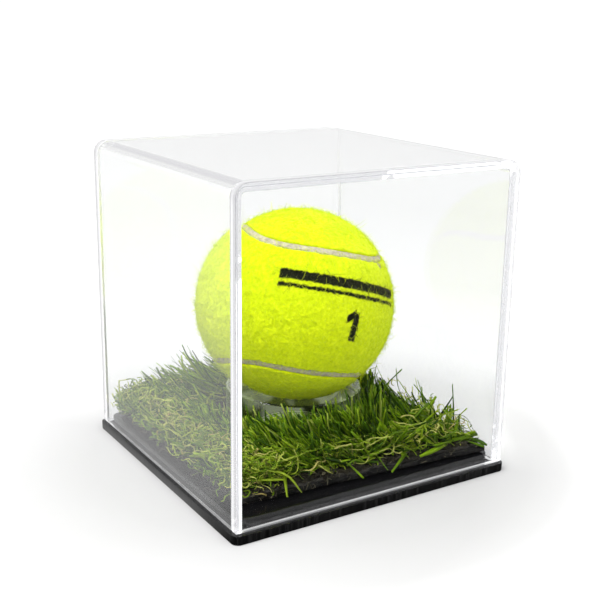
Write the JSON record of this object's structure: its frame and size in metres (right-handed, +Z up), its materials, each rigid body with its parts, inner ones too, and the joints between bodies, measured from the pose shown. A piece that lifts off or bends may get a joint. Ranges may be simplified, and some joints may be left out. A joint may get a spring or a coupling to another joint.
{
  "type": "acrylic display cube",
  "caption": "Clear lift-off acrylic cube on a black base, holding a felt tennis ball on a clear ring in a square of artificial grass.",
  "frame": {"origin": "middle of the base plate's underside", "axes": "+Z up along the cover's lift; -Y towards the cover's front panel, which faces the ball's marked side; +X to the right seen from the front"},
  "size_m": [0.1074, 0.1074, 0.109],
  "materials": {
    "black_acrylic": "polished black sheet with sawn, satin edges",
    "clear_acrylic": "clear polished sheet, its cut edges whiter and slightly frosted",
    "ring_acrylic": "clear polished thick-walled tube",
    "adhesive_tape": "matte double-sided tape",
    "latex": "matte black rubber coat",
    "backing_cloth": "woven dark grey-brown cloth with frayed edges",
    "thatch": "curled tan and olive fibres",
    "grass": "satin green blades with lighter and darker strands",
    "core_rubber": "matte black rubber",
    "felt": "fuzzy yellow-green felt with plain black markings",
    "seam_rubber": "matte light grey rubber, slightly ragged"
  },
  "bodies": {
    "base": {"base_plate": "black_acrylic", "plinth_plate": "black_acrylic", "turf_tape": "adhesive_tape", "turf_latex_coat": "latex", "turf_backing_cloth": "backing_cloth", "curled_thatch": "thatch", "grass_pile": "grass"},
    "cover": {"cover_folded_wrap": "clear_acrylic", "cover_front_panel": "clear_acrylic", "cover_back_panel": "clear_acrylic"},
    "ring": {"ball_ring": "ring_acrylic"},
    "ball": {"ball_core_front_half": "core_rubber", "ball_core_rear_half": "core_rubber", "ball_felt_front": "felt", "ball_felt_rear": "felt", "ball_seam": "seam_rubber"}
  },
  "joints": [
    {"name": "cover_lift", "type": "slide", "parent": "base", "child": "cover", "axis": [0, 0, 1], "range_m": [0, 0.11]},
    {"name": "ring_turn", "type": "hinge", "parent": "base", "child": "ring", "pos_m": [0, 0, 0.0161], "axis": [0, 0, 1], "continuous": true},
    {"name": "ball_lift", "type": "slide", "parent": "ring", "child": "ball", "axis": [0, 0, 1], "range_m": [0, 0.016]}
  ]
}
